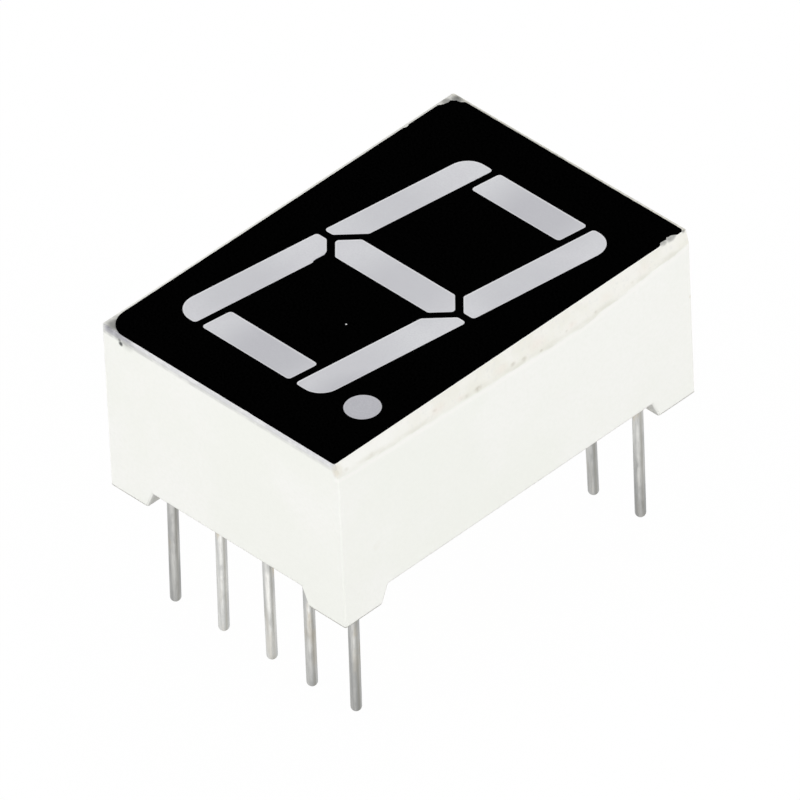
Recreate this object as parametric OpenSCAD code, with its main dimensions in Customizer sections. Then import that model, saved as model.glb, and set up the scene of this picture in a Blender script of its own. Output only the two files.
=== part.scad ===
// Seven segment LED display: one slanted digit and a decimal point on ten leads.
// X runs to the digit's right, Y to its top and Z out of its face. The origin is the
// middle of the lead grid, on the plane where the feet sit on a circuit board.
// The digit and the lead grid drive the size of the housing around them.

/* [Housing] */
// Distance from the outer leads' axes to the outside of the long walls, at the feet
side_gap = 1.27; // [1.2:0.01:2]
// Distance from a row of leads to the outside of its end wall, at the feet
end_gap = 1.905; // [1.6:0.005:3]
// Height from the feet to the top of the black face
body_h = 8; // [7:0.1:10]
// Thickness of the side and end walls
wall_t = 0.7; // [0.5:0.05:0.75]
// How far each wall leans in from the feet to the face
draft_w = 0.02; // [0:0.01:0.1]
// Radius of the four upright corners
corner_r = 0.1; // [0.05:0.05:0.3]
// Height of the corner feet below the walls
foot_h = 0.8; // [0.4:0.05:1]
// Length of a foot along each of its two walls, at its sole
foot_l = 2; // [1.5:0.1:3]
// How much longer a foot is where it meets the wall
foot_flare = 0.35; // [0.1:0.05:0.6]

/* [Face] */
// Thickness of the black film on the face
film_t = 0.05; // [0.03:0.01:0.1]
// Width of the flat white rim left of the film
left_rim_w = 0.13; // [0.1:0.01:0.3]
// Width of the flat white rim above the film, at the digit's head
back_rim_w = 0.03; // [0.02:0.01:0.2]
// Width of the right wall's bevel, which starts at the film
right_bevel_w = 0.21; // [0.1:0.01:0.3]
// Width of the front wall's bevel, which starts at the film
front_bevel_w = 0.03; // [0.02:0.01:0.2]
// Corner radius of the film
film_r = 0.15; // [0.1:0.05:0.5]
// Depth of the right wall's bevel at both of its ends
bevel_end = 0.6; // [0.3:0.05:0.9]
// Depth of the right wall's bevel where it is deepest
bevel_deep = 1.15; // [0.3:0.05:1.6]
// How far above the digit's middle the right wall's bevel is deepest
bevel_y = 3.4; // [-4:0.1:5]
// Depth of the front wall's bevel
bevel_short = 0.25; // [0.05:0.05:0.5]

/* [Digit] */
// Height of the digit
digit_h = 14.24; // [13:0.02:14.6]
// Width of the digit, level with its middle bar
digit_w = 8.08; // [7.4:0.02:8.3]
// How far the digit stands to the right of the face's middle
digit_x = -0.07; // [-0.2:0.01:0.1]
// Slant of the digit in degrees
slant = 7.8; // [4:0.1:9]
// Width of the upright segments, measured level
upright_w = 1.38; // [1.1:0.01:1.5]
// Height of the top and bottom segments
bar_h = 1.45; // [1.1:0.01:1.6]
// Height of the middle segment
middle_h = 1.5; // [1.1:0.01:1.6]
// Gap between neighbouring segments
segment_gap = 0.28; // [0.2:0.01:0.4]
// How far the middle segment's tips stop short of the uprights' middle lines
tip_back = 0.1; // [0:0.01:0.2]
// Radius of the digit's four outer corners
outer_r = 0.93; // [0.4:0.01:1.1]
// Radius of every other segment corner
inner_r = 0.18; // [0.08:0.01:0.25]
// Diameter of the decimal point
dot_d = 1.5; // [1.2:0.05:1.7]
// Level gap between the digit's lower right segment and the decimal point
dot_gap = 0.7; // [0.4:0.01:0.8]
// How far the decimal point reaches below the digit
dot_drop = 0.01; // [0:0.01:0.1]

/* [Light wells] */
// Depth of the straight land at each well's mouth
land_h = 0.25; // [0.1:0.05:0.5]
// Width of a well where it opens on the board
floor_w = 1.1; // [0.8:0.05:1.2]
// Length of a well where it opens on the board
floor_l = 2.6; // [1.8:0.1:4]
// How far the resin in a well stays below the film's top
window_sink = 0.02; // [0.01:0.01:0.03]

/* [Board and potting] */
// Height of the board's front above the seating plane
board_z = 3.2; // [2.8:0.1:3.6]
// Thickness of the board
board_t = 1; // [0.6:0.1:1.2]
// Clearance between the board and the walls
board_gap = 0.1; // [0.05:0.05:0.15]
// Height of the potting's back above the seating plane
potting_z = 1.1; // [0.9:0.05:1.4]
// Thickness of the copper tracks
copper_t = 0.07; // [0.03:0.01:0.1]
// Width of the copper tracks
track_w = 0.3; // [0.2:0.02:0.3]
// Distance of the copper around a lead from the board's edge
copper_edge = 0.05; // [0.03:0.01:0.1]
// Length of the sides of a bond wire's copper pad
bond_pad_w = 0.36; // [0.32:0.02:0.4]
// Length of the sides of a chip's copper pad
chip_pad_w = 0.4; // [0.38:0.02:0.46]
// Distance from a row of leads at which the tracks turn towards it
turn_gap = 0.72; // [0.6:0.02:0.8]

/* [Chips] */
// Length of a light emitting chip's sides
chip_w = 0.3; // [0.2:0.02:0.36]
// Height of a light emitting chip
chip_h = 0.2; // [0.12:0.02:0.22]
// Radius of a bond wire's loop
loop_r = 0.35; // [0.3:0.01:0.38]
// Diameter of a bond wire
wire_d = 0.04; // [0.02:0.01:0.05]
// Diameter of the wire's bonded ball on the chip
ball_d = 0.1; // [0.06:0.01:0.12]
// Height of the bonded ball
ball_h = 0.05; // [0.03:0.01:0.06]

/* [Leads] */
// Distance between neighbouring leads of a row
lead_pitch = 2.54; // [2.4:0.01:2.8]
// How far each row of leads lies outside the digit's top and bottom edges
row_outset = 0.5; // [0.4:0.01:1]
// Diameter of a lead's tinned free end
lead_d = 0.45; // [0.4:0.01:0.5]
// Thickness of the tin that the free end is dipped in
tin_t = 0.01; // [0.005:0.005:0.02]
// How far the tin reaches above the seating plane
tin_top = 0.05; // [0.02:0.01:0.05]
// Length of a lead below the seating plane
lead_reach = 6.3; // [2.5:0.1:8]
// How far a lead stands through the board's front
lead_stub = 0.35; // [0.2:0.05:0.45]
// Clearance around a lead in the board's holes
hole_gap = 0.05; // [0.02:0.01:0.08]
// Clearance around a solder joint in the housing
pocket_gap = 0.05; // [0.03:0.01:0.08]

/* [Hidden] */
$fn = 48;

SEGMENTS = ["a", "b", "c", "d", "e", "f", "g", "dp"];
LEAD_OF = [7, 6, 4, 2, 1, 9, 10, 5]; // lead that feeds each of SEGMENTS
COMMON_LEADS = [3, 8];
leads_per_row = 5;
lead_count = 2 * leads_per_row;

corner_steps = 5; // facets of a small round corner
outer_steps = 12; // facets of the digit's large outer corners
through = 1; // how far a cutting shape runs past what it cuts

row_pitch = digit_h + 2 * row_outset; // between the two rows of leads
body_w = (leads_per_row - 1) * lead_pitch + 2 * side_gap;
body_l = row_pitch + 2 * end_gap;
shell_top = body_h - film_t;
cavity_w = body_w - 2 * wall_t;
cavity_l = body_l - 2 * wall_t;
top_w = body_w - 2 * draft_w;
top_l = body_l - 2 * draft_w;
film_w = top_w - left_rim_w - right_bevel_w;
film_l = top_l - front_bevel_w - back_rim_w;
film_x = (left_rim_w - right_bevel_w) / 2;
film_y = (front_bevel_w - back_rim_w) / 2;
outer_x = digit_w / 2; // outer edge of the upright segments
inner_x = outer_x - upright_w;
bar_x = inner_x - segment_gap;
tip_x = outer_x - upright_w / 2 - tip_back;
mitre_x = tip_x + segment_gap * sqrt(2); // where the uprights' mitres would cross mid height
bonded_z = chip_h + ball_h / 2; // height at which the wire leaves the ball
chip_x = sqrt(loop_r * loop_r - bonded_z * bonded_z);
wire_core_d = lead_d - 2 * tin_t;
hole_d = wire_core_d + 2 * hole_gap;
solder_d = 2 * (side_gap - wall_t - board_gap - copper_edge);
dot_y = (dot_d - digit_h) / 2 - dot_drop;
dot_x = digit_x + outer_x + lean(dot_y) + dot_gap + dot_d / 2;

// ---- outlines ----

function unit(v) = v / norm(v);
function turned(points) = [for (p = points) -p];
function lean(y) = y * tan(slant);
function on_slant(x, y) = [x + lean(y), y];

// Arc of radius r that rounds corner p between its neighbours, for an outline that runs anticlockwise
function round_corner(before, p, after, r, steps) =
    let (
        u = unit(before - p),
        v = unit(after - p),
        half = acos(u * v) / 2,
        middle = p + unit(u + v) * r / sin(half),
        start = p + u * r / tan(half) - middle,
        first = atan2(start.y, start.x),
        turn = 180 - 2 * half
    )
    [for (i = [0:steps]) middle + r * [cos(first + turn * i / steps), sin(first + turn * i / steps)]];

// Outline with corner number big rounded by outer_r and the others by inner_r
function rounded(points, big = -1) =
    let (n = len(points))
    [for (i = [0:n - 1])
        for (p = round_corner(points[(i + n - 1) % n], points[i], points[(i + 1) % n],
                              i == big ? outer_r : inner_r, i == big ? outer_steps : corner_steps)) p];

function plate(w, l) = [[-w / 2, -l / 2], [w / 2, -l / 2], [w / 2, l / 2], [-w / 2, l / 2]];
function soft_plate(w, l, r) =
    let (p = plate(w, l))
    [for (i = [0:3]) for (q = round_corner(p[(i + 3) % 4], p[i], p[(i + 1) % 4], r, corner_steps)) q];

top_bar = [
    on_slant(-bar_x, digit_h / 2 - bar_h),
    on_slant(bar_x, digit_h / 2 - bar_h),
    on_slant(bar_x, digit_h / 2),
    on_slant(-bar_x, digit_h / 2)
];
middle_bar = [
    [-tip_x, 0],
    [middle_h / 2 - tip_x, -middle_h / 2],
    [tip_x - middle_h / 2, -middle_h / 2],
    [tip_x, 0],
    [tip_x - middle_h / 2, middle_h / 2],
    [middle_h / 2 - tip_x, middle_h / 2]
];
upper_left = [
    on_slant(-outer_x, segment_gap / 2),
    [segment_gap / 2 - mitre_x, segment_gap / 2],
    on_slant(-inner_x, (mitre_x - inner_x) / (1 - tan(slant))),
    on_slant(-inner_x, digit_h / 2),
    on_slant(-outer_x, digit_h / 2)
];
lower_left = [
    on_slant(-outer_x, -digit_h / 2),
    on_slant(-inner_x, -digit_h / 2),
    on_slant(-inner_x, -(mitre_x - inner_x) / (1 + tan(slant))),
    [segment_gap / 2 - mitre_x, -segment_gap / 2],
    on_slant(-outer_x, -segment_gap / 2)
];

// Window outlines of segments a to g, around the face's middle
WINDOWS = [for (outline = [
    rounded(top_bar),
    rounded(turned(lower_left), 0),
    rounded(turned(upper_left), 4),
    rounded(turned(top_bar)),
    rounded(lower_left, 0),
    rounded(upper_left, 4),
    rounded(middle_bar)
]) [for (p = outline) p + [digit_x, 0]]];

bar_y = (digit_h - bar_h) / 2;
upright_x = outer_x - upright_w / 2;
upright_y = (digit_h + segment_gap) / 4;
upright_l = (digit_h - segment_gap) / 2;

// Middle of each segment's well, around the face's middle
CENTRES = [
    [digit_x, 0] + on_slant(0, bar_y),
    [digit_x, 0] + on_slant(upright_x, upright_y),
    [digit_x, 0] + on_slant(upright_x, -upright_y),
    [digit_x, 0] + on_slant(0, -bar_y),
    [digit_x, 0] + on_slant(-upright_x, -upright_y),
    [digit_x, 0] + on_slant(-upright_x, upright_y),
    [digit_x, 0],
    [dot_x, dot_y]
];

// Direction from each bond wire's pad to its chip
HEADINGS = [180, 270 - slant, 90 - slant, 0, 90 - slant, 270 - slant, 0, 90];

// Length and width of each well at its mouth, along and across its segment
BAR_SIZE = [2 * bar_x, bar_h];
UPRIGHT_SIZE = [upright_l, upright_w];
MOUTHS = [
    BAR_SIZE, UPRIGHT_SIZE, UPRIGHT_SIZE, BAR_SIZE, UPRIGHT_SIZE, UPRIGHT_SIZE, [2 * tip_x, middle_h]
];

function lead_at(i) =
    i <= leads_per_row
        ? [(i - 1 - (leads_per_row - 1) / 2) * lead_pitch, -row_pitch / 2]
        : [((leads_per_row - 1) / 2 - (i - 1 - leads_per_row)) * lead_pitch, row_pitch / 2];
function heading(k) = [cos(HEADINGS[k]), sin(HEADINGS[k])];
function chip_at(k) = CENTRES[k] + chip_x * heading(k);
function pad_at(k) = CENTRES[k] - loop_r * heading(k);

// Solid through a row of sections with equally many corners, each anticlockwise seen from the last
module loft(sections) {
    n = len(sections[0]);
    last = n * (len(sections) - 1);
    sides = [for (i = [0:len(sections) - 2]) for (j = [0:n - 1])
        let (a = n * i + j, b = n * i + (j + 1) % n)
        each [[a, a + n, b + n], [a, b + n, b]]];
    polyhedron([for (s = sections) each s], concat(
        [[for (j = [0:n - 1]) j]],
        sides,
        [[for (j = [0:n - 1]) last + n - 1 - j]]
    ));
}

// ---- the light wells and what fills them ----

module window(k) {
    if (k < len(WINDOWS)) polygon(WINDOWS[k]);
    else translate(CENTRES[k]) circle(d = dot_d);
}

// Place p of a well's mouth, drawn in towards the well's centre c along and across direction h
function drawn_in(p, c, h, size) =
    let (along = [cos(h), sin(h)], across = [-sin(h), cos(h)])
    c + along * ((p - c) * along) * floor_l / size[0] + across * ((p - c) * across) * floor_w / size[1];

function raised(outline, z) = [for (p = outline) [p.x, p.y, z]];

// Slanted funnel from a window's land down to its floor on the board
module funnel(k) {
    mouth = WINDOWS[k];
    floor = [for (p = mouth) drawn_in(p, CENTRES[k], HEADINGS[k], MOUTHS[k])];
    loft([raised(floor, board_z), raised(mouth, shell_top - land_h)]);
}

module dot_funnel() {
    translate(CENTRES[7])
        translate([0, 0, board_z])
            cylinder(h = shell_top - land_h - board_z, d1 = floor_w, d2 = dot_d);
}

// The space of well k, up to height top
module well(k, top) {
    if (k < len(WINDOWS)) funnel(k);
    else dot_funnel();
    translate([0, 0, shell_top - land_h]) linear_extrude(top - shell_top + land_h) window(k);
}

module diffuser(k) {
    color([0.79, 0.79, 0.82]) difference() {
        well(k, body_h - window_sink);
        led_chip(k);
        bond_wire(k);
    }
}

module led_chip(k) {
    color([0.55, 0.12, 0.1])
        translate(CENTRES[k])
            rotate(HEADINGS[k])
                translate([chip_x - chip_w / 2, -chip_w / 2, board_z])
                    cube([chip_w, chip_w, chip_h]);
}

module bond_wire(k) {
    rise = asin(bonded_z / loop_r);
    color([0.85, 0.68, 0.3])
        translate(CENTRES[k])
            translate([0, 0, board_z])
                rotate(HEADINGS[k]) {
                    rotate([90, 0, 0])
                        rotate(rise)
                            rotate_extrude(angle = 180 - rise)
                                translate([loop_r, 0]) circle(d = wire_d);
                    translate([chip_x, 0, chip_h]) cylinder(h = ball_h, d = ball_d);
                }
}

// ---- housing and face ----

// Half size of the body at height z, from half its size at the feet
function wall_at(half, z) = half - draft_w * z / body_h;

// Cuts the bevel of the wall at x = half, from x = flat on the top: knots holds [y, depth]
module bevel(half, flat, knots) {
    loft([for (k = knots) [
        [half + through, k[0], shell_top + through],
        [wall_at(half, shell_top - k[1]), k[0], shell_top - k[1]],
        [flat, k[0], shell_top]
    ]]);
}

// Only the right and the front wall are bevelled
module bevels() {
    reach = body_l / 2 + through;
    bevel(body_w / 2, film_x + film_w / 2, [
        [-reach, bevel_end], [-body_l / 2, bevel_end], [bevel_y, bevel_deep],
        [body_l / 2, bevel_end], [reach, bevel_end]
    ]);
    rotate(-90) bevel(body_l / 2, film_l / 2 - film_y, [[-reach, bevel_short], [reach, bevel_short]]);
}

// Opening under one pair of walls, between the feet
module arch(length) {
    half = length / 2 - foot_l;
    rotate([90, 0, 0])
        translate([0, 0, -body_l])
            linear_extrude(2 * body_l)
                polygon([
                    [-half - foot_flare * through / foot_h, -through],
                    [half + foot_flare * through / foot_h, -through],
                    [half - foot_flare, foot_h],
                    [foot_flare - half, foot_h]
                ]);
}

module housing() {
    color([0.95, 0.95, 0.92]) difference() {
        loft([for (z = [0, shell_top])
            raised(soft_plate(2 * wall_at(body_w / 2, z), 2 * wall_at(body_l / 2, z), corner_r), z)]);
        translate([0, 0, -through])
            linear_extrude(board_z + through) polygon(plate(cavity_w, cavity_l));
        arch(body_w);
        rotate(90) arch(body_l);
        bevels();
        for (k = [0:len(SEGMENTS) - 1]) well(k, body_h + through);
        for (i = [1:lead_count])
            translate(lead_at(i))
                translate([0, 0, board_z])
                    cylinder(h = lead_stub + pocket_gap, d = solder_d + 2 * pocket_gap);
    }
}

module face_film() {
    color([0.02, 0.02, 0.02])
        translate([0, 0, shell_top])
            linear_extrude(film_t)
                difference() {
                    translate([film_x, film_y]) polygon(soft_plate(film_w, film_l, film_r));
                    for (k = [0:len(SEGMENTS) - 1]) window(k);
                }
}

// ---- circuit board ----

function left_of(v) = [-v.y, v.x];

// Mitred corner of a track at its place number i: side is 1 on its left and -1 on its right
function track_corner(places, i, side) =
    let (
        last = len(places) - 1,
        coming = max(i, 1),
        going = min(i, last - 1),
        n1 = left_of(unit(places[coming] - places[coming - 1])),
        n2 = left_of(unit(places[going + 1] - places[going]))
    )
    places[i] + side * track_w / 2 * (n1 + n2) / (1 + n1 * n2);

// Track of even width along straight runs between places
module route(places) {
    last = len(places) - 1;
    polygon(concat(
        [for (i = [0:last]) track_corner(places, i, -1)],
        [for (i = [last:-1:0]) track_corner(places, i, 1)]
    ));
}

module lead_pad(i) {
    translate(lead_at(i)) circle(d = solder_d);
}

module square_pad(place, k, w) {
    translate(place) rotate(HEADINGS[k]) square(w, center = true);
}

// Track from a segment's bonding pad to its lead: bars start across the board, uprights along it
module segment_route(k) {
    pad = pad_at(k);
    goal = lead_at(LEAD_OF[k]);
    is_bar = SEGMENTS[k] == "a" || SEGMENTS[k] == "d" || SEGMENTS[k] == "g";
    turn = is_bar ? [goal.x, pad.y] : [pad.x, goal.y - sign(goal.y) * turn_gap];
    route([pad, turn, goal]);
    square_pad(pad, k, bond_pad_w);
    lead_pad(LEAD_OF[k]);
}

// Net under all chips, from the two middle leads
module common_route() {
    spine = lead_at(COMMON_LEADS[0]).x;
    route([lead_at(COMMON_LEADS[0]), lead_at(COMMON_LEADS[1])]);
    for (k = [0:len(WINDOWS) - 1]) {
        route([[spine, chip_at(k).y], chip_at(k)]);
        square_pad(chip_at(k), k, chip_pad_w);
    }
    dot = chip_at(7);
    branch = chip_at(2);
    route([branch, [dot.x, branch.y], dot]);
    square_pad(dot, 7, chip_pad_w);
    for (i = COMMON_LEADS) lead_pad(i);
}

// Copper flush with the board's front
module inlay() {
    translate([0, 0, board_z - copper_t]) linear_extrude(copper_t) children();
}

module lead_holes() {
    for (i = [1:lead_count])
        translate(lead_at(i))
            translate([0, 0, board_z - board_t - through])
                cylinder(h = board_t + 2 * through, d = hole_d);
}

module track_common() {
    color([0.8, 0.55, 0.25]) difference() {
        inlay() common_route();
        lead_holes();
    }
}

module track(k) {
    color([0.8, 0.55, 0.25]) difference() {
        inlay() segment_route(k);
        lead_holes();
    }
}

module board_blank() {
    translate([0, 0, board_z - board_t])
        linear_extrude(board_t)
            polygon(plate(cavity_w - 2 * board_gap, cavity_l - 2 * board_gap));
}

module circuit_board() {
    color([0.72, 0.66, 0.36]) difference() {
        board_blank();
        inlay() {
            common_route();
            for (k = [0:len(SEGMENTS) - 1]) segment_route(k);
        }
        lead_holes();
    }
}

// ---- leads, solder and potting ----

// Drawn wire with a round tip, dipped in tin up to the seating plane
module lead(i) {
    tip = lead_d / 2 - lead_reach;
    color([0.72, 0.72, 0.7])
        translate(lead_at(i))
            translate([0, 0, tip]) {
                cylinder(h = tin_top - tip, d = lead_d);
                sphere(d = lead_d);
                cylinder(h = board_z + lead_stub - tip, d = wire_core_d);
            }
}

// Solder that fills the hole around a lead and stands up along it on the board's front
module solder_joint(i) {
    color([0.8, 0.8, 0.8]) difference() {
        translate(lead_at(i)) {
            translate([0, 0, board_z - board_t]) cylinder(h = board_t, d = hole_d);
            translate([0, 0, board_z]) cylinder(h = lead_stub, d1 = solder_d, d2 = hole_d);
        }
        lead(i);
    }
}

// Resin poured on the board's back, which also fills the clearance around the board
module potting() {
    color([0.9, 0.88, 0.8]) difference() {
        translate([0, 0, potting_z])
            linear_extrude(board_z - potting_z) polygon(plate(cavity_w, cavity_l));
        board_blank();
        for (i = [1:lead_count]) lead(i);
    }
}

housing();
face_film();
circuit_board();
potting();
track_common();
for (k = [0:len(SEGMENTS) - 1]) {
    track(k);
    diffuser(k);
    led_chip(k);
    bond_wire(k);
}
for (i = [1:lead_count]) {
    lead(i);
    solder_joint(i);
}
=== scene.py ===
"""Looks of a one digit seven segment display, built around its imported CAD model.

Dressed pieces take the place of the housing, the film, the resin windows, the leads and the
potting. The board, tracks, chips, bond wires and solder keep their CAD shape and get materials.

Lengths in the tables and in the materials are millimetres, and the meshes are in metres.
Azimuths are degrees round the object, from its front towards its right.
"""

import math

import bmesh
import bpy
from mathutils import Euler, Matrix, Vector, noise


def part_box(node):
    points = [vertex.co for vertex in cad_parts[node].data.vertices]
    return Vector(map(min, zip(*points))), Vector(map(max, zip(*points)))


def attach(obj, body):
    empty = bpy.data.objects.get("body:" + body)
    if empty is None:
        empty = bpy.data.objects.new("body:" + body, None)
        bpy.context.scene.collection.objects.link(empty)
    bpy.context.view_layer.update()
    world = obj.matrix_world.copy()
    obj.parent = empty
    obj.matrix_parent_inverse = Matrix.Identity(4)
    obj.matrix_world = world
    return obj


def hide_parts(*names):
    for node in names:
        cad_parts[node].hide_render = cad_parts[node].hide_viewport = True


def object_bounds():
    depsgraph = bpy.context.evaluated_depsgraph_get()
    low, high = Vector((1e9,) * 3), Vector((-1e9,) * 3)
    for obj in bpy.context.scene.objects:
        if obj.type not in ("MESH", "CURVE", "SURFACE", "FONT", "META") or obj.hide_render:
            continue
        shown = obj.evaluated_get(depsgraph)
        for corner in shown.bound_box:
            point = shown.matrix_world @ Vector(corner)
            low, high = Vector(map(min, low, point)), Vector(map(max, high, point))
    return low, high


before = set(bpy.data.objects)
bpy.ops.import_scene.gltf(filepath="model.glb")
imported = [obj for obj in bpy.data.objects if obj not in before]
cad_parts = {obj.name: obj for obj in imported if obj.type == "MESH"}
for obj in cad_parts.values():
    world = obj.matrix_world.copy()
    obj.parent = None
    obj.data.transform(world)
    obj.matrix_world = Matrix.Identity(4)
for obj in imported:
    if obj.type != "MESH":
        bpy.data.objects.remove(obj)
CAD_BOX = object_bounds()

MM = 0.001

SEGMENTS = ["a", "b", "c", "d", "e", "f", "g", "dp"]
LEADS = range(1, 11)

# ---- the camera and the light ----

AIM = (0.97, -1.03, 3.08)  # what the camera looks at
CAMERA_AZIMUTH = 46.5
CAMERA_ELEVATION = 39.5
CAMERA_ROLL = -2.7
CAMERA_DISTANCE = 606.0
LENS = 714.5  # focal length
SENSOR = 36.0  # width
CLIP = (0.01, 10.0)  # nearest and furthest that the camera sees, in metres

FLOOR_SIZE = 3000.0
FLOOR_GLOW = 0.98  # share of the floor that the camera sees as plain white
FLOOR_BOUNCE = 0.65  # how pale the floor is to light that falls on the object from it
ROOM_LIGHT = 0.5  # strength of the even light from all round
# Azimuth, elevation and distance from AIM, size of the panel and its power in watts
LAMPS = [
    (-12, 22, 420, 300, 0.91),
    (102, 22, 420, 300, 0.87),
    (200, 50, 450, 300, 0.45),
]

# ---- wear that the object shows ----

FILM_BACK = 0.1  # how far the film's back edge has worn back from where it was printed
# Radius of the film's corners, anticlockwise from the one at the front left: two are worn round
FILM_CORNERS = [1.0, 0.12, 0.12, 0.45]
# Bites out of the film's outline: place, length along the edge on each side of it, depth
FILM_CHIPS = [
    (6.14, 8.36, 0.22, 0.13),
    (6.14, 8.74, 0.24, 0.18),
    (-6.2, 8.95, 0.4, 0.16),
    (-5.97, 9.36, 0.42, 0.17),
    (-6.2, 6.77, 0.09, 0.05),
    (1.5, -9.47, 0.2, 0.02),
]
INK_CREEP = 0.02  # how far the film's ink has crept over the edges of the windows
# Ink spilled over a window's edge: place, length along the edge on each side of it, depth
INK_SPILLS = [(-2.87, -1.12, 0.4, 0.09)]
# Ink smeared on the moulding beside the film: the values of a call of Paint.spot
INK_SMEARS = [
    ((-5.92, -9.16, 7.97), 0.56, 0.72),
    ((-6.12, -8.9, 7.97), 0.35, 0.35),
    ((-5.45, -9.5, 7.9), 0.4, 0.35),
    ((-4.98, -9.52, 7.78), 0.5, 0.27),
    ((-6.14, 8.95, 7.97), 0.3, 0.55),
    ((-5.95, 9.33, 7.97), 0.34, 0.7),
    ((6.2, 9.38, 7.97), 0.16, 1.0),
    ((6.1, 8.73, 7.97), 0.19, 0.55, 0.3, 1.8),
    ((6.1, 8.34, 7.97), 0.16, 0.45, 0.3, 1.6),
    ((-5.32, -9.52, 7.54), 0.16, 0.95),
    ((-5.38, -9.52, 7.68), 0.12, 0.7),
]
# Soft brownish spots on the rims, near the corner and on the walls: place, radius and strength
BROWN_SPOTS = [
    ((-6.3, 2.1, 7.95), 0.14, 0.6),
    ((2.6, 9.5, 7.95), 0.12, 0.5),
    ((-3.6, 9.5, 7.95), 0.2, 0.6),
    ((6.31, -9.45, 7.7), 0.42, 0.75),
    ((6.33, 9.45, 4.8), 0.12, 0.5),
    ((6.33, -7.7, 3.0), 0.3, 0.12),
]
# Pinkish stains low on the right wall's bevel: place along the wall, height, size
PINK_STAINS = [
    (-4.1, 7.5, 0.34), (-2.9, 7.3, 0.2), (-0.7, 7.36, 0.3), (1.25, 7.42, 0.42),
    (3.1, 7.2, 0.25), (5.0, 7.4, 0.3), (7.1, 7.55, 0.34),
]
# Dirt caught along the lower line of the right wall's bevel: place along the wall, height, size
BEVEL_DIRT = [
    (-9.0, 7.56, 0.14), (-7.7, 7.5, 0.13), (-4.3, 7.5, 0.14), (-3.8, 7.5, 0.1),
    (-2.6, 7.23, 0.12), (-2.0, 7.2, 0.2), (-0.55, 7.35, 0.12), (-0.1, 7.23, 0.16),
    (0.5, 7.14, 0.16), (1.4, 7.0, 0.1), (2.8, 7.08, 0.12), (4.4, 7.07, 0.12),
    (5.5, 7.46, 0.1), (6.4, 7.3, 0.13), (7.4, 7.4, 0.12), (8.2, 7.4, 0.1),
]
# How dark the resin is in each well, where 1 is the darkest, and how far from the well's
# middle its darkest place lies
WELL_SHADES = {
    "a": (0.68, (0.6, 0.0)),
    "b": (0.36, (-0.1, -0.8)),
    "c": (0.32, (-0.15, -1.2)),
    "d": (0.71, (0.6, 0.0)),
    "e": (0.39, (-0.1, -0.7)),
    "f": (0.35, (-0.1, -0.8)),
    "g": (0.47, (0.7, 0.0)),
    "dp": (0.95, (0.0, 0.0)),
}
WELL_SHADE_REACH = 3.4  # how far from its darkest place the resin is darker
# A white speck on the film: place and radius
FILM_SPECK = ((0.61, -3.31, 8.0), 0.05)

# How the leads are bent: their x where they leave the housing and at the tip, and the tip's z
LEAD_BENDS = {
    1: (-5.0, -5.15, -6.3),
    2: (-2.37, -2.5, -6.27),
    3: (0.17, 0.13, -6.2),
    4: (2.36, 2.3, -6.3),
    5: (4.78, 4.69, -6.17),
    6: (5.08, 5.05, -5.76),
    7: (2.44, 2.5, -6.08),
    8: (0.03, -0.04, -6.2),
    9: (-2.5, -2.46, -6.1),
    10: (-5.06, -5.12, -6.25),
}

# How pale each lead looks at its top and at its tip, where 1 is the wire's own grey
LEAD_TONES = {
    1: (1.0, 0.89),
    2: (1.14, 1.1),
    3: (1.12, 1.08),
    4: (1.11, 0.95),
    5: (1.04, 0.86),
    6: (1.12, 0.88),
    7: (1.04, 0.96),
    8: (1.0, 0.95),
    9: (0.96, 0.9),
    10: (1.02, 0.95),
}


def srgb(red, green, blue):
    """Linear colour of an sRGB one whose parts run from 0 to 255."""
    parts = [c / 255 for c in (red, green, blue)]
    return tuple(c / 12.92 if c < 0.04045 else ((c + 0.055) / 1.055) ** 2.4 for c in parts) + (1.0,)


def mm(*values):
    """Vector in metres of lengths in millimetres."""
    return Vector(v * MM for v in values)


def corners_of(node):
    """Lowest and highest corner of a CAD node in millimetres."""
    low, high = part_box(node)
    return low / MM, high / MM


def smooth(t):
    """From 0 to 1 as t does, level at both ends."""
    return t * t * (3 - 2 * t)


def link(name, data):
    """Puts an object with that data into the scene."""
    made = bpy.data.objects.new(name, data)
    bpy.context.scene.collection.objects.link(made)
    return made


# ---- materials ----


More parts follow.
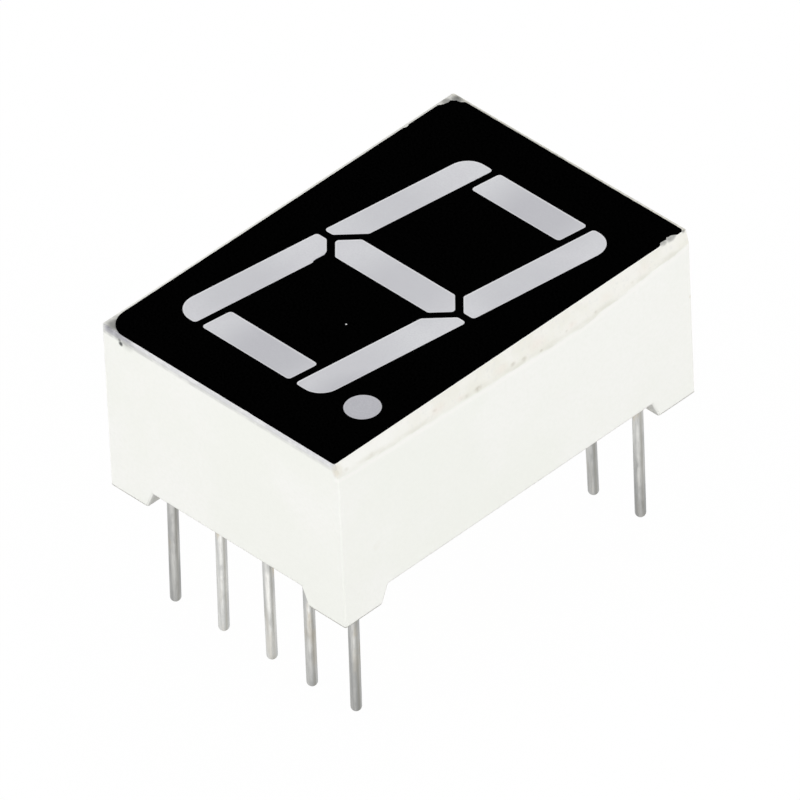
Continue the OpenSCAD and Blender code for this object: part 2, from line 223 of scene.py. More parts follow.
class Paint:
    """The node tree of one material, with a short call for each kind of node that it uses."""

    def __init__(self, name, **settings):
        self.material = bpy.data.materials.new(name)
        self.material.use_nodes = True
        self.tree = self.material.node_tree
        self.shader = self.tree.nodes["Principled BSDF"]
        self.place = self.scaled(self.node("ShaderNodeTexCoord").outputs["Object"], 1 / MM)
        self.x, self.y, self.z = self.node("ShaderNodeSeparateXYZ", {0: self.place}).outputs
        for key, value in settings.items():
            self.shader.inputs[key.replace("_", " ")].default_value = value

    def node(self, kind, inputs=(), **settings):
        made = self.tree.nodes.new(kind)
        for key, value in settings.items():
            setattr(made, key, value)
        for key, value in dict(inputs).items():
            if isinstance(value, bpy.types.NodeSocket):
                self.tree.links.new(value, made.inputs[key])
            else:
                made.inputs[key].default_value = value
        return made

    def math(self, operation, *values):
        return self.node("ShaderNodeMath", enumerate(values), operation=operation).outputs[0]

    def vector(self, operation, *values):
        return self.node("ShaderNodeVectorMath", enumerate(values), operation=operation)

    def scaled(self, vector, factor):
        inputs = {0: vector, "Scale": factor}
        return self.node("ShaderNodeVectorMath", inputs, operation="SCALE").outputs[0]

    def ramp(self, value, start, end, low=0.0, high=1.0):
        """From low to high, smoothly, as value goes from start to end."""
        inputs = {"Value": value, "From Min": start, "From Max": end, "To Min": low, "To Max": high}
        return self.node("ShaderNodeMapRange", inputs, interpolation_type="SMOOTHSTEP").outputs[0]

    def both(self, *masks):
        """Where all of the masks hold."""
        total = masks[0]
        for mask in masks[1:]:
            total = self.math("MULTIPLY", total, mask)
        return total

    def stretched(self, *factors):
        """Place for a noise that is stretched along the axes with small factors."""
        return self.vector("MULTIPLY", self.place, factors).outputs[0]

    def noise(self, per_mm, detail=2.0, place=None):
        inputs = {"Vector": place or self.place, "Scale": per_mm, "Detail": detail}
        return self.node("ShaderNodeTexNoise", inputs).outputs["Fac"]

    def mix(self, factor, first, second):
        inputs = {0: factor, 6: first, 7: second}
        return self.node("ShaderNodeMix", inputs, data_type="RGBA").outputs[2]

    def vary(self, value, start, end, first, second, most=1.0):
        """From the first colour towards the second, as value goes from start to end."""
        return self.mix(self.ramp(value, start, end, 0.0, most), first, second)

    def spot(self, centre, radius, strength=1.0, core=0.3, longer=1.0):
        """strength at the core of a spot, falling to 0 at radius, and that much longer along y."""
        away = self.vector("SUBTRACT", self.place, centre).outputs[0]
        squeezed = self.vector("MULTIPLY", away, (1, 1 / longer, 1)).outputs[0]
        reach = self.vector("LENGTH", squeezed).outputs["Value"]
        return self.ramp(reach, radius, core * radius, 0.0, strength)

    def spots(self, places):
        """The strongest of several spots, each the values of one call of spot."""
        total = None
        for values in places:
            one = self.spot(*values)
            total = one if total is None else self.math("MAXIMUM", total, one)
        return total

    def attribute(self, name):
        """Value that the mesh holds at its vertices."""
        return self.node("ShaderNodeAttribute", attribute_name=name).outputs["Fac"]

    def colour(self, value):
        self.tree.links.new(value, self.shader.inputs["Base Color"])

    def rough(self, value):
        self.tree.links.new(value, self.shader.inputs["Roughness"])

    def bump(self, height, depth, strength=1.0):
        """Relief depth millimetres high where height goes from 0 to 1."""
        inputs = {"Height": height, "Distance": depth * MM, "Strength": strength}
        relief = self.node("ShaderNodeBump", inputs)
        self.tree.links.new(relief.outputs["Normal"], self.shader.inputs["Normal"])


RIGHT_DEPTH = 0.2  # the right wall's bevel lies within this of the wall's outside
FRONT_DEPTH = 0.1  # the same for the front wall's bevel
FRONT_LINE = 7.68  # height of the lower line of the front wall's bevel
BACK_RIM = 0.17  # width of the worn rim behind the film
BACK_WORN_FROM = 7.93  # height above which the back wall's edge is worn
ON_OUTSIDE = 0.03  # how near to a wall's outside a vertex lies on it
BEVEL_FROM = 6.0  # the right wall's bevel lies above this height
BEVEL_BELOW_TOP = 0.3  # and its lower line at least this far below the top
OPENING_TOP = 1.1  # height below which the moulding turns under
FLANK = (0.1, 0.7)  # heights between which the feet's flanks lie


def bevel_line():
    """First, lowest and last place (y, z) of the lower line of the right wall's bevel."""
    high = corners_of("housing")[1]
    places = set()
    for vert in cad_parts["housing"].data.vertices:
        x, y, z = (part / MM for part in vert.co)
        if x > high.x - ON_OUTSIDE and BEVEL_FROM < z < high.z - BEVEL_BELOW_TOP:
            places.add((round(y, 2), round(z, 2)))
    line = sorted(places)
    return line[0], min(line, key=lambda place: place[1]), line[-1]


def right_bevel(paint, white, stain, specks):
    """Paints the right bevel: beige above its lower line, painted shade along it, a painted
    highlight below.
    """
    high = corners_of("housing")[1]
    first, lowest, last = bevel_line()

    def slanted(here, there):
        """Height of a straight line from here to there."""
        slope = (there[1] - here[1]) / (there[0] - here[0])
        return paint.math("MULTIPLY_ADD", paint.y, slope, there[1] - slope * there[0])

    ragged = paint.math("MULTIPLY_ADD", paint.noise(1.1, 3), 0.2, -0.1)
    line = paint.math("MAXIMUM", slanted(lowest, first), slanted(lowest, last))
    above = paint.math("SUBTRACT", paint.z, paint.math("ADD", line, ragged))
    right = paint.ramp(paint.x, high.x - RIGHT_DEPTH - 0.07, high.x - RIGHT_DEPTH)

    beige = paint.vary(stain, 0.35, 0.65, srgb(241, 240, 234), srgb(236, 235, 226))
    beige = paint.vary(specks, 0.5, 0.75, beige, srgb(228, 228, 224), 0.5)
    beige = paint.vary(paint.y, -4, -8, beige, srgb(243, 243, 239), 0.7)
    pink = paint.spots([((high.x, y, z), size, 0.5, 0.0, 1.8) for y, z, size in PINK_STAINS])
    pink = paint.both(pink, paint.ramp(specks, 0.3, 0.6, 0.5, 1))
    beige = paint.mix(pink, beige, srgb(236, 226, 216))
    white = paint.mix(paint.both(right, paint.ramp(above, -0.05, 0.1)), white, beige)

    # painted shade: a patchy dark line just above the bevel's lower line, where the surface turns
    shade_patches = paint.ramp(paint.noise(1.3, 3, paint.stretched(1, 0.6, 1.5)), 0.42, 0.62, 0.2, 0.85)
    dark = paint.both(right, shade_patches, paint.ramp(above, -0.03, 0.05), paint.ramp(above, 0.3, 0.05))
    white = paint.mix(dark, white, srgb(224, 223, 213))
    # painted highlight: a pale strip on the wall just below the bevel's lower line
    below = paint.both(
        right, paint.ramp(above, -0.3, -0.14), paint.ramp(above, -0.02, -0.1, 0, 0.6),
    )
    white = paint.mix(below, white, srgb(250, 249, 245))
    dirt = paint.spots([((high.x, y, z), size, 0.9, 0.1, 1.5) for y, z, size in BEVEL_DIRT])
    crumbs = paint.ramp(paint.noise(3.5, 3), 0.35, 0.6, 0.35, 1)
    return paint.mix(paint.both(dirt, crumbs), white, srgb(203, 199, 186))


def front_bevel(paint, white, front):
    """Paints the front bevel: lavender, darkest at the left end, with painted shade as a grey lower
    line.
    """
    uneven = paint.ramp(paint.noise(2, 3), 0.25, 0.6, 0.75, 1)
    band = paint.both(
        front,
        paint.ramp(paint.z, FRONT_LINE, FRONT_LINE + 0.06),
        uneven,
        paint.ramp(paint.x, -6.35, -6, 0.3, 1),
    )
    violet = paint.vary(paint.x, -5.0, -4.3, srgb(192, 191, 198), srgb(215, 215, 217))
    mottle = paint.noise(5, 3, paint.stretched(0.6, 1, 1))
    violet = paint.vary(mottle, 0.45, 0.68, violet, srgb(238, 238, 238), 0.6)
    white = paint.mix(band, white, violet)
    # painted shade: a grey line along the bevel's lower line, stronger towards the left
    from_line = paint.math("ABSOLUTE", paint.math("SUBTRACT", paint.z, FRONT_LINE))
    line_shade = paint.both(
        front,
        paint.ramp(from_line, 0.13, 0.03),
        paint.ramp(paint.x, 6, -5, 0.5, 0.9),
        paint.ramp(paint.noise(2.5, 3), 0.35, 0.6, 0.4, 1),
    )
    return paint.mix(line_shade, white, srgb(205, 205, 203))


def rims(paint, white, front, stain, specks):
    """Paints the rims along the left and the back, the brown spots and the smears of ink."""
    high = corners_of("housing")[1]
    rim = paint.ramp(paint.z, high.z - 0.06, high.z - 0.02)
    rim = paint.both(rim, paint.ramp(stain, 0.3, 0.6, 0.5, 1), paint.ramp(front, 1, 0))
    white = paint.mix(rim, white, srgb(240, 239, 233))
    back = paint.both(
        paint.ramp(paint.y, high.y - BACK_RIM - 0.04, high.y - BACK_RIM),
        paint.ramp(paint.z, BACK_WORN_FROM - 0.03, BACK_WORN_FROM),
    )
    worn_edge = paint.vary(specks, 0.4, 0.6, srgb(234, 232, 223), srgb(217, 215, 205))
    white = paint.mix(back, white, worn_edge)
    brown = paint.both(paint.spots(BROWN_SPOTS), paint.ramp(paint.noise(4, 3), 0.3, 0.6, 0.5, 1))
    white = paint.mix(brown, white, srgb(222, 217, 202))
    ink = paint.both(paint.spots(INK_SMEARS), paint.ramp(paint.noise(3.5, 4), 0.3, 0.55, 0.75, 1))
    return paint.mix(ink, white, srgb(58, 60, 60))


def undersides(paint, white, grain):
    """Paints shade on what turns under between the feet, less on their flanks, and patchy shade low
    on the feet.
    """
    normal = paint.node("ShaderNodeNewGeometry").outputs["Normal"]
    facing = paint.node("ShaderNodeSeparateXYZ", {0: normal}).outputs["Z"]
    low_down = paint.ramp(paint.z, OPENING_TOP, OPENING_TOP - 0.15)
    foot, top = FLANK
    flank = paint.both(
        paint.ramp(paint.z, foot - 0.04, foot + 0.04),
        paint.ramp(paint.z, top + 0.04, top - 0.04, 0, 0.6),
    )
    # painted shade on faces that turn downwards, low down between the feet, less on their flanks
    under = paint.both(
        paint.ramp(facing, -0.12, -0.55),
        low_down,
        paint.math("SUBTRACT", 1.0, flank),
        paint.ramp(grain, 0.3, 0.7, 0.6, 0.9),
    )
    white = paint.mix(under, white, srgb(210, 209, 205))
    # painted shade, patchy, along the lowest edge of the feet
    patchy_shade = paint.ramp(paint.noise(1.5, 3), 0.3, 0.6, 0.3, 0.7)
    sole_shade = paint.both(paint.ramp(paint.z, 0.14, 0.02), patchy_shade)
    return paint.mix(sole_shade, white, srgb(214, 213, 207))


def moulded_white():
    """White plastic, stained and worn as the object's moulding is, with painted shade along its
    bevels' lower lines and under it, and a painted highlight below the right bevel.
    """
    paint = Paint("moulded_white", IOR=1.49, Specular_IOR_Level=0.2)
    outside = -corners_of("housing")[1].y
    grain = paint.noise(6, 4)
    cloud = paint.noise(0.25, 3)
    stain = paint.noise(0.9, 4)
    specks = paint.noise(7, 3)
    front = paint.ramp(paint.y, outside + FRONT_DEPTH + 0.03, outside + FRONT_DEPTH)
    white = paint.vary(cloud, 0.35, 0.65, srgb(247, 247, 243), srgb(244, 245, 239))
    white = paint.vary(grain, 0.3, 0.8, white, srgb(241, 242, 236), 0.5)
    white = right_bevel(paint, white, stain, specks)
    white = front_bevel(paint, white, front)
    white = rims(paint, white, front, stain, specks)
    paint.colour(undersides(paint, white, grain))
    paint.rough(paint.ramp(grain, 0.3, 0.7, 0.5, 0.62))
    paint.bump(paint.noise(9, 4), 0.012, 0.5)
    return paint.material


def black_film():
    """Dead black ink with a fine grain and one pale speck."""
    paint = Paint("black_film", IOR=1.45, Specular_IOR_Level=0.0)
    grain = paint.noise(12, 3)
    black = paint.vary(grain, 0.3, 0.7, srgb(0, 0, 0), srgb(4, 4, 4))
    paint.colour(paint.mix(paint.spot(*FILM_SPECK), black, srgb(236, 236, 236)))
    paint.rough(paint.ramp(paint.noise(3, 3), 0.3, 0.7, 0.8, 0.95))
    paint.bump(grain, 0.004)
    return paint.material


def milky_resin():
    """Grey milky resin, darker over the deep middle of each well and paler along the edges."""
    paint = Paint("milky_resin", IOR=1.5, Specular_IOR_Level=0.12)
    cloud = paint.noise(0.5, 3)
    grain = paint.noise(14, 3)
    grey = paint.vary(cloud, 0.3, 0.7, srgb(213, 214, 217), srgb(210, 210, 214))
    wells = []
    for segment, (shade, (right, up)) in WELL_SHADES.items():
        low, high = corners_of(f"diffuser_{segment}")
        darkest = ((low.x + high.x) / 2 + right, (low.y + high.y) / 2 + up, high.z)
        wells.append((darkest, WELL_SHADE_REACH, shade, 0.2))
    grey = paint.mix(paint.spots(wells), grey, srgb(176, 176, 182))
    grey = paint.vary(grain, 0.35, 0.75, grey, srgb(196, 196, 201), 0.4)
    paint.colour(paint.mix(paint.attribute("rim"), grey, srgb(226, 226, 228)))
    paint.rough(paint.ramp(grain, 0.3, 0.7, 0.45, 0.6))
    paint.bump(grain, 0.006)
    return paint.material


def tinned_wire():
    """Drawn wire dipped in tin: a painted highlight and a painted dark reflection along it, and a
    little brown tarnish.
    """
    paint = Paint("tinned_wire", Metallic=1.0)
    streak = paint.noise(5, 4, paint.stretched(1, 1, 0.07))
    fine = paint.noise(18, 3, paint.stretched(1, 1, 0.1))
    blotch = paint.noise(0.9, 3)
    grey = paint.vary(streak, 0.35, 0.65, srgb(172, 173, 172), srgb(196, 196, 193))
    # painted highlight: a pale streak down one side of each lead, blotchy and stronger higher up
    pale = paint.both(paint.attribute("pale"), paint.ramp(blotch, 0.35, 0.6, 0.25, 1))
    pale = paint.both(pale, paint.ramp(paint.z, -6, -2, 0.4, 1))
    grey = paint.mix(pale, grey, srgb(234, 233, 229))
    # painted dark reflection: a dark streak down another side of each lead
    dark = paint.both(paint.attribute("dark"), paint.ramp(blotch, 0.65, 0.4, 0.55, 1))
    grey = paint.mix(dark, grey, srgb(163, 162, 155))
    grey = paint.vary(fine, 0.45, 0.75, grey, srgb(150, 150, 147), 0.35)
    tarnish = paint.ramp(paint.noise(2.2, 3, paint.stretched(1, 1, 0.3)), 0.54, 0.7)
    tarnish = paint.both(tarnish, paint.ramp(paint.z, -4.5, -1.5, 0.15, 0.6))
    grey = paint.mix(tarnish, grey, srgb(178, 163, 132))
    paint.colour(paint.scaled(grey, paint.attribute("tone")))
    paint.rough(paint.ramp(streak, 0.3, 0.7, 0.5, 0.36))
    paint.bump(fine, 0.006)
    return paint.material


def cast_epoxy():
    """Cream casting resin, glossy, with faint clouds."""
    paint = Paint("cast_epoxy", IOR=1.52, Coat_Weight=0.3, Coat_Roughness=0.08)
    cloud = paint.noise(0.4, 4)
    paint.colour(paint.vary(cloud, 0.3, 0.7, srgb(232, 227, 208), srgb(222, 215, 192)))
    paint.rough(paint.ramp(paint.noise(2, 3), 0.3, 0.7, 0.15, 0.35))
    paint.bump(paint.noise(1.2, 3), 0.03)
    return paint.material


WEAVE_PER_MM = 1.2  # scale of the glass cloth's weave


def glass_epoxy():
    """Green-yellow board, with the weave of its glass cloth just showing."""
    paint = Paint("glass_epoxy", IOR=1.5)
    inputs = {"Vector": paint.place, "Scale": WEAVE_PER_MM}
    weft = paint.node("ShaderNodeTexWave", inputs, bands_direction="X")
    warp = paint.node("ShaderNodeTexWave", inputs, bands_direction="Y")
    weave = paint.math("MULTIPLY", weft.outputs["Fac"], warp.outputs["Fac"])
    paint.colour(paint.mix(weave, srgb(196, 184, 122), srgb(176, 166, 104)))
    paint.rough(paint.ramp(weave, 0, 1, 0.35, 0.5))
    paint.bump(weave, 0.01)
    return paint.material


def etched_copper():
    """Copper track, stained in patches."""
    paint = Paint("etched_copper", Metallic=1.0)
    stain = paint.noise(1.5, 4)
    paint.colour(paint.vary(stain, 0.35, 0.65, srgb(214, 150, 96), srgb(184, 116, 72)))
    paint.rough(paint.ramp(paint.noise(8, 3), 0.3, 0.7, 0.25, 0.45))
    paint.bump(paint.noise(10, 2), 0.003)
    return paint.material


def chip_ceramic():
    """Dark red light emitting chip, with a faint frosted cut on its sides."""
    paint = Paint("chip_ceramic", IOR=1.6)
    cut = paint.noise(20, 3)
    paint.colour(paint.vary(cut, 0.3, 0.7, srgb(150, 60, 52), srgb(120, 44, 40)))
    paint.rough(paint.ramp(cut, 0.3, 0.7, 0.25, 0.45))
    paint.bump(cut, 0.004)
    return paint.material


def drawn_gold():
    """Fine gold wire with drawing marks."""
    paint = Paint("drawn_gold", Metallic=1.0)
    mark = paint.noise(40, 2)
    paint.colour(paint.vary(mark, 0.3, 0.7, srgb(232, 196, 116), srgb(214, 172, 92)))
    paint.rough(paint.ramp(mark, 0.3, 0.7, 0.2, 0.35))
    return paint.material


def soft_solder():
    """Solder, frosted where it cooled."""
    paint = Paint("soft_solder", Metallic=1.0)
    frost = paint.noise(9, 4)
    paint.colour(paint.vary(frost, 0.35, 0.65, srgb(205, 205, 203), srgb(178, 178, 176)))
    paint.rough(paint.ramp(frost, 0.3, 0.7, 0.2, 0.45))
    paint.bump(frost, 0.008)
    return paint.material


# ---- pieces ----


WELD = 0.001  # vertices nearer than this are one
FLAT_WITHIN = 0.4  # faces that turn less than this many degrees are one
FACES_END = 0.99  # least share of a flat end face's normal that lies along z
LEVEL_WITHIN = 0.005  # how far from the end its vertices lie at most


def welded(node):
    """A bmesh copy of a CAD node."""
    bm = bmesh.new()
    bm.from_mesh(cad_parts[node].data)
    bmesh.ops.remove_doubles(bm, verts=bm.verts, dist=WELD * MM)
    return bm


def merged(node):
    """A bmesh copy of a CAD node, with its flat faces in as few pieces as they go."""
    bm = welded(node)
    angle = math.radians(FLAT_WITHIN)
    bmesh.ops.dissolve_limit(bm, angle_limit=angle, verts=bm.verts, edges=bm.edges)
    return bm


def end_faces(bm, side, height):
    """The flat faces at that height that look up, where side is 1, or down, where it is -1."""
    bm.normal_update()
    return [
        face for face in bm.faces
        if face.normal.z * side > FACES_END
        and max(abs(v.co.z - height * MM) for v in face.verts) < LEVEL_WITHIN * MM
    ]


def inset_ring(bm, faces, width):
    """Draws in the faces by width, and returns the vertices on the outside of the ring left."""
    made = bmesh.ops.inset_region(bm, faces=faces, thickness=width * MM, use_even_offset=True)
    inside = {v for face in faces for v in face.verts}
    return {v for face in made["faces"] for v in face.verts} - inside


def piece(name, bm, material, slot, sharp_from, *nodes):
    """Makes an object of bm that stands for the CAD nodes.

    Its edges look sharp where the faces turn by sharp_from degrees or more.
    """
    bmesh.ops.recalc_face_normals(bm, faces=bm.faces)
    mesh = bpy.data.meshes.new(name)
    bm.to_mesh(mesh)
    bm.free()
    mesh.materials.append(material)
    mesh.shade_smooth()
    mesh.set_sharp_from_angle(angle=math.radians(sharp_from))
    made = link(name, mesh)
    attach(made, "root")
    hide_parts(*nodes)
    return made


LOW_ROUND = (0.09, 4)  # radius of the walls' lower outer edges, and its steps
EDGE_ROUND = (0.05, 2)  # the same for the moulding's other edges
ROUND_FROM = 20.0  # least angle in degrees of an edge that is rounded
SHELL_DEPTH = 0.72  # how far in from the outside the rounded edges lie
OUTSIDE = 0.1  # how near to the outside an edge counts as an outer one
LOWER_BELOW = 1.0  # height below which it is a lower one
UPRIGHT = 1.0  # an edge whose ends lie further apart in height stays sharp
SEAT_RIM = 0.03  # and so does one this near to the top, where the film lies


def housing_shell(material):
    """The moulding, with the edges of its feet, openings and bevels rounded."""
    bm = merged("housing")
    low, high = corners_of("housing")

    def rounded(edge, most):
        """Whether the edge is rounded and lies at most that deep inside the outside."""
        middle = (edge.verts[0].co + edge.verts[1].co) / 2 / MM
        depth = min(high.x - abs(middle.x), high.y - abs(middle.y))
        ends = [v.co.z / MM for v in edge.verts]
        upright = abs(ends[0] - ends[1]) > UPRIGHT
        turn = math.degrees(edge.calc_face_angle(0))
        return depth < most and not upright and max(ends) < high.z - SEAT_RIM and turn > ROUND_FROM

    def bevel(edges, radius, steps):
        bmesh.ops.bevel(
            bm, geom=edges, offset=radius * MM, offset_type="OFFSET", segments=steps, profile=0.5,
            affect="EDGES", clamp_overlap=False,
        )

    outer = [e for e in bm.edges if rounded(e, OUTSIDE)]
    bevel([e for e in outer if e.verts[0].co.z < LOWER_BELOW * MM], *LOW_ROUND)
    bevel([e for e in bm.edges if rounded(e, SHELL_DEPTH)], *EDGE_ROUND)
    for vert in bm.verts:  # a bevel's corners reach a hair past the leaning walls
        vert.co.x = min(max(vert.co.x, low.x * MM), high.x * MM)
        vert.co.y = min(max(vert.co.y, low.y * MM), high.y * MM)
        vert.co.z = max(vert.co.z, low.z * MM)
    made = piece("housing_shell", bm, material, "housing", 30, "housing")
    made.modifiers.new("even_normals", "WEIGHTED_NORMAL").keep_sharp = True


CORNER_STEPS = 8  # straight pieces in a round corner of the film
OUTLINE_STEP = 0.1  # distance between the points of the film's worn outline
OUTLINE_WEAR = 0.014  # how far the outline has worn back at most
WEAR_PER_MM = 2.6  # how closely the wear along the outline changes
CRUMBS_PER_MM = 7  # the same inside a chip
LOOKS_UP = 0.9  # least z of the normal of a face that looks up


def window_loops():
    """The outlines of the openings in the CAD film, as lists of (x, y) in millimetres."""
    bm = welded("face_film")
    bm.normal_update()
    follows = {}
    for face in bm.faces:
        if face.normal.z > LOOKS_UP:
            for loop in face.loops:
                if loop.link_loop_radial_next.face.normal.z < LOOKS_UP:
                    follows[loop.vert] = loop.link_loop_next.vert
    loops = []
    while follows:
        vert = next(iter(follows))
        outline = []
        while vert in follows:
            outline.append((vert.co.x / MM, vert.co.y / MM))
            vert = follows.pop(vert)
        loops.append(outline)
    bm.free()
    reach = [max(x for x, _ in loop) - min(x for x, _ in loop) for loop in loops]
    loops.pop(reach.index(max(reach)))  # the longest is the film's own outline
    return loops


def film_outline():
    """The film's outline without its wear: straight edges between round corners."""
    low, high = corners_of("face_film")
    back = high.y - FILM_BACK
    # place of each corner, and which way the film lies from it
    corners = [
        (low.x, low.y, 1, 1), (high.x, low.y, -1, 1), (high.x, back, -1, -1), (low.x, back, 1, -1),
    ]
    outline = []
    for number, ((x, y, inward_x, inward_y), radius) in enumerate(zip(corners, FILM_CORNERS)):
        for step in range(CORNER_STEPS + 1):
            angle = math.radians(180 + 90 * number + 90 * step / CORNER_STEPS)
            outline.append(Vector((
                x + inward_x * radius + radius * math.cos(angle),
                y + inward_y * radius + radius * math.sin(angle),
            )))
    return outline


def close_points(outline):
    """Points at even steps along a closed outline, each with the outline's direction there."""
    close = []
    for here, there in zip(outline, outline[1:] + outline[:1]):
        count = max(1, round((there - here).length / OUTLINE_STEP))
        close += [(here.lerp(there, i / count), (there - here).normalized()) for i in range(count)]
    return close


def left_of(along):
    return Vector((-along.y, along.x))


def hit_by(place, marks):
    """For each mark that reaches place, its depth and how far out in it place lies, from 0 to 1."""
    for x, y, half, depth in marks:
        away = (place - Vector((x, y))).length / half
        if away < 1:
            yield depth, away


def crept(loop):
    """A window's outline, which runs clockwise, where the ink has crept over its edge."""
    outline = [Vector(place) for place in loop]
    befores, afters = outline[-1:] + outline[:-1], outline[1:] + outline[:1]
    narrowed = []
    for before, here, after in zip(befores, outline, afters):
        coming, going = left_of((here - before).normalized()), left_of((after - here).normalized())
        narrowed.append(here - INK_CREEP * (coming + going) / (1 + coming.dot(going)))
    points = []
    for place, along in close_points(narrowed):
        depths = [depth * math.sqrt(1 - away ** 4) for depth, away in hit_by(place, INK_SPILLS)]
        points.append(place - max(depths, default=0.0) * left_of(along))
    return points


def worn(outline):
    """The film's outline, which runs anticlockwise, drawn in where it is ragged or chipped."""
    points = []
    for place, along in close_points(outline):
        ragged = noise.noise(Vector((place.x, place.y, 0)) * WEAR_PER_MM)
        crumbly = 1 + 0.5 * noise.noise(Vector((place.x, place.y, 3)) * CRUMBS_PER_MM)
        chips = [
            depth * math.sqrt(1 - away * away) * crumbly
            for depth, away in hit_by(place, FILM_CHIPS)
        ]
        wear = max([0.0, ragged * OUTLINE_WEAR] + chips)
        points.append(place + wear * left_of(along))
    return points


def worn_film(material):
    """The black film, with its rounded corners, chips and ragged outline."""
    low, high = corners_of("face_film")
    bm = bmesh.new()
    for outline in [worn(film_outline())] + [crept(loop) for loop in window_loops()]:
        verts = [bm.verts.new(mm(x, y, low.z)) for x, y in outline]
        for here, there in zip(verts, verts[1:] + verts[:1]):
            bm.edges.new((here, there))
    bmesh.ops.triangle_fill(bm, use_beauty=True, use_dissolve=False, edges=bm.edges[:])
    top = bmesh.ops.extrude_face_region(bm, geom=bm.faces[:], use_keep_orig=True)
    raised = [v for v in top["geom"] if isinstance(v, bmesh.types.BMVert)]
    bmesh.ops.translate(bm, verts=raised, vec=mm(0, 0, high.z - low.z))
    piece("worn_film", bm, material, "face_film", 40, "face_film")


# Rings inside a window's edge: how pale the resin is at the ring's outside, and the ring's width
RIM_RINGS = [(1.0, 0.05), (0.6, 0.06)]
DOT_RIM = 0.25  # how pale the decimal point's rim is beside that of the segments
RIM_RISE = 0.012  # how far the resin creeps up at its edge


def milky_window(segment, material):
    """Resin in one well, which creeps up a little at its edge."""
    node = f"diffuser_{segment}"
    bm = merged(node)
    rim = bm.verts.layers.float.new("rim")
    faces = end_faces(bm, 1, corners_of(node)[1].z)
    share = DOT_RIM if segment == "dp" else 1.0
    for paleness, width in RIM_RINGS:
        for vert in inset_ring(bm, faces, width):
            vert[rim] = paleness * share
            vert.co.z += RIM_RISE * paleness ** 4 * MM
    piece(f"milky_window_{segment}", bm, material, "diffuser", 40, node)


# Rings inside the edges of the casting resin's back: how far they creep out, and the ring's width
CREEP_RINGS = [(0.12, 0.025), (0.06, 0.035), (0.02, 0.05), (0.0, 0.04)]


def crept_back(material):
    """The casting resin, which creeps out along the walls and the leads at its back."""
    bm = merged("potting")
    back = corners_of("potting")[0].z
    faces = end_faces(bm, -1, back)
    for creep, width in CREEP_RINGS:
        for vert in inset_ring(bm, faces, width):
            vert.co.z = (back - creep) * MM
    bmesh.ops.triangulate(bm, faces=[face for face in bm.faces if len(face.verts) > 4])
    piece("crept_back", bm, material, "potting", 50, "potting")


LEAD_SIDES = 28
HIGHLIGHT_STREAK = (38, 20)  # azimuth of a lead's painted highlight streak, and how wide it is in degrees
# the same for a lead's painted dark reflection streak
DARK_REFLECTION_STREAK = (75, 13)
GAMMA = 2.2  # from how pale something looks to its share of the light
BEND_TOP = 1.0  # height from which a lead leans, inside the moulding
BEND_LOW = -1.2  # height at which it has reached its first place in LEAD_BENDS
BEND_STEPS = 4
TIN = 0.01  # thickness of the tin
TIN_TOP = 0.05  # height up to which the lead is dipped in tin
TIN_STEPS = 14
TIP_ANGLES = (0.3, 0.6, 0.9, 1.2, 1.45)  # where the rings of the round tip lie, in radians


def lead_rings(high, tip_z, radius):
    """Height and radius of each ring of a lead, from its top to its round tip."""
    core = radius - TIN
    bottom = tip_z + radius
    rings = [(high, core), (BEND_TOP, core)]
    for i in range(1, BEND_STEPS + 1):
        rings.append((BEND_TOP - (BEND_TOP - TIN_TOP) * i / BEND_STEPS, core))
    rings.append((TIN_TOP, radius))
    for i in range(1, TIN_STEPS + 1):
        rings.append((TIN_TOP - (TIN_TOP - bottom) * i / TIN_STEPS, radius))
    return rings + [(bottom - radius * math.sin(a), radius * math.cos(a)) for a in TIP_ANGLES]


def streak(azimuth, middle, width):
    """1 in the middle of a streak along a lead, and less the further from it."""
    away = (azimuth - middle + 180) % 360 - 180
    return math.exp(-(away / width) ** 2)


def lead_wire(number, material):
    """A lead, bent a little as the object's are, with a round tip and tin up to the feet."""
    node = f"lead_{number}"
    low, high = corners_of(node)
    axis = (low + high) / 2
    top_x, tip_x, tip_z = LEAD_BENDS[number]
    top_tone, tip_tone = LEAD_TONES[number]

    def middle(z):
        """x of the lead's axis at height z."""
        if z < BEND_LOW:
            return top_x + (tip_x - top_x) * (z - BEND_LOW) / (tip_z - BEND_LOW)
        bent = smooth(max(0.0, (BEND_TOP - z) / (BEND_TOP - BEND_LOW)))
        return axis.x + (top_x - axis.x) * bent

    bm = bmesh.new()
    pale, dark, tone = (bm.verts.layers.float.new(name) for name in ("pale", "dark", "tone"))
    loops = []
    for z, radius in lead_rings(high.z, tip_z, (high.x - low.x) / 2):
        down = min(1.0, max(0.0, z / tip_z))
        shade = (top_tone * (1 - down) + tip_tone * down) ** GAMMA
        loop = []
        for side in range(LEAD_SIDES):
            azimuth = 360 * side / LEAD_SIDES
            a = math.radians(azimuth)
            x, y = middle(z) + radius * math.sin(a), axis.y - radius * math.cos(a)
            vert = bm.verts.new(mm(x, y, z))
            # painted highlight and painted dark reflection, held by each vertex from its azimuth
            vert[pale] = streak(azimuth, *HIGHLIGHT_STREAK)
            vert[dark] = streak(azimuth, *DARK_REFLECTION_STREAK)
            vert[tone] = shade
            loop.append(vert)
        loops.append(loop)
    for upper, lower in zip(loops, loops[1:]):
        for side in range(LEAD_SIDES):
            after = (side + 1) % LEAD_SIDES
            bm.faces.new((upper[side], upper[after], lower[after], lower[side]))
    bm.faces.new(loops[0])
    bm.faces.new(loops[-1][::-1])
    piece(f"bent_lead_{number}", bm, material, "tinned_lead", 50, node)


def finish_nodes(names, material):
    """Gives CAD nodes, which keep their shape, a material."""
    for name in names:
        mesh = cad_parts[name].data
        mesh.materials.clear()
        mesh.materials.append(material)


# ---- the studio ----


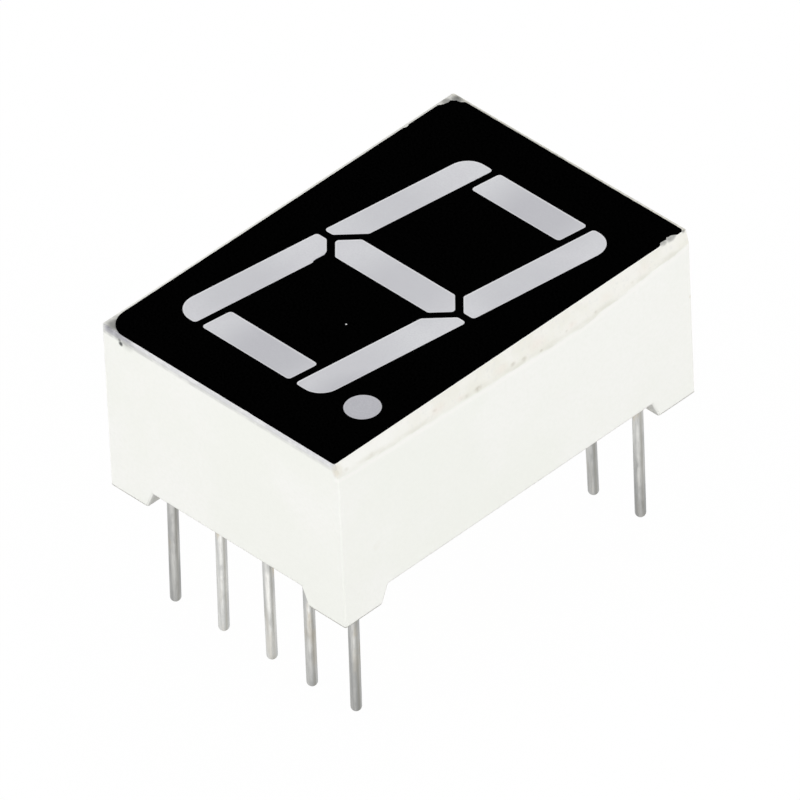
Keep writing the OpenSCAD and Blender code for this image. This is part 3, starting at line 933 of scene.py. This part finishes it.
def around(azimuth, elevation, distance):
    """The place, in metres, at that azimuth, elevation and distance from AIM."""
    a, e = math.radians(azimuth), math.radians(elevation)
    away = Vector((math.sin(a) * math.cos(e), -math.cos(a) * math.cos(e), math.sin(e)))
    return mm(*AIM) + away * distance * MM


def towards_aim(place):
    """Turn of a camera or lamp at place that points it at AIM."""
    return (mm(*AIM) - place).to_track_quat("-Z", "Y")


def place_camera():
    data = bpy.data.cameras.new("camera")
    data.lens = LENS
    data.sensor_width = SENSOR
    data.clip_start, data.clip_end = CLIP
    camera = link("camera", data)
    camera.location = around(CAMERA_AZIMUTH, CAMERA_ELEVATION, CAMERA_DISTANCE)
    roll = Euler((0, 0, math.radians(CAMERA_ROLL))).to_matrix()
    camera.rotation_euler = (towards_aim(camera.location).to_matrix() @ roll).to_euler()
    bpy.context.scene.camera = camera


def hang_lamps():
    """Hangs the lamps' panels round the object."""
    for number, (azimuth, elevation, distance, size, power) in enumerate(LAMPS):
        data = bpy.data.lights.new(f"panel_{number}", "AREA")
        data.size = size * MM
        data.energy = power
        lamp = link(data.name, data)
        lamp.location = around(azimuth, elevation, distance)
        lamp.rotation_euler = towards_aim(lamp.location).to_euler()


def ray_is(tree, *kinds):
    """1 for rays of those kinds and 0 for the others."""
    path = tree.nodes.new("ShaderNodeLightPath")
    total = path.outputs[kinds[0]]
    for kind in kinds[1:]:
        either = tree.nodes.new("ShaderNodeMath")
        either.operation = "MAXIMUM"
        tree.links.new(total, either.inputs[0])
        tree.links.new(path.outputs[kind], either.inputs[1])
        total = either.outputs[0]
    return total


def between(tree, value, low, high):
    """Goes from low to high as value goes from 0 to 1."""
    level = tree.nodes.new("ShaderNodeMapRange")
    level.inputs["To Min"].default_value = low
    level.inputs["To Max"].default_value = high
    tree.links.new(value, level.inputs["Value"])
    return level.outputs[0]


def light_room():
    """World that lights softly and is plain white to the camera and in reflections."""
    world = bpy.data.worlds.new("room")
    bpy.context.scene.world = world
    world.use_nodes = True
    tree = world.node_tree
    back = tree.nodes["Background"]
    seen = ray_is(tree, "Is Camera Ray", "Is Glossy Ray", "Is Transmission Ray")
    back.inputs["Color"].default_value = (1, 1, 1, 1)
    tree.links.new(between(tree, seen, ROOM_LIGHT, 1.0), back.inputs["Strength"])


def lay_floor():
    """White floor that glows for the camera and in reflections, and takes a faint shadow."""
    bm = bmesh.new()
    half = FLOOR_SIZE / 2 * MM
    height = CAD_BOX[0].z
    square = ((-1, -1), (1, -1), (1, 1), (-1, 1))
    bm.faces.new([bm.verts.new((x * half, y * half, height)) for x, y in square])
    mesh = bpy.data.meshes.new("floor")
    bm.to_mesh(mesh)
    bm.free()
    link("floor", mesh)
    material = bpy.data.materials.new("floor_white")
    material.use_nodes = True
    tree = material.node_tree
    tree.nodes.remove(tree.nodes["Principled BSDF"])
    seen = ray_is(tree, "Is Camera Ray", "Is Glossy Ray")
    matte = tree.nodes.new("ShaderNodeBsdfDiffuse")
    tree.links.new(between(tree, seen, FLOOR_BOUNCE, 1.0), matte.inputs["Color"])
    glow = tree.nodes.new("ShaderNodeEmission")
    mixed = tree.nodes.new("ShaderNodeMixShader")
    tree.links.new(between(tree, seen, 0.0, FLOOR_GLOW), mixed.inputs[0])
    tree.links.new(matte.outputs[0], mixed.inputs[1])
    tree.links.new(glow.outputs[0], mixed.inputs[2])
    tree.links.new(mixed.outputs[0], tree.nodes["Material Output"].inputs["Surface"])
    mesh.materials.append(material)


# ---- putting it together ----

housing_shell(moulded_white())
worn_film(black_film())
resin = milky_resin()
for segment in SEGMENTS:
    milky_window(segment, resin)
tin = tinned_wire()
for number in LEADS:
    lead_wire(number, tin)
crept_back(cast_epoxy())
finish_nodes(["circuit_board"], glass_epoxy())
finish_nodes(["track_common"] + [f"track_{s}" for s in SEGMENTS], etched_copper())
finish_nodes([f"led_chip_{s}" for s in SEGMENTS], chip_ceramic())
finish_nodes([f"bond_wire_{s}" for s in SEGMENTS], drawn_gold())
finish_nodes([f"solder_joint_{i}" for i in LEADS], soft_solder())

lay_floor()
light_room()
hang_lamps()
place_camera()
bpy.context.scene.view_settings.view_transform = "Standard"
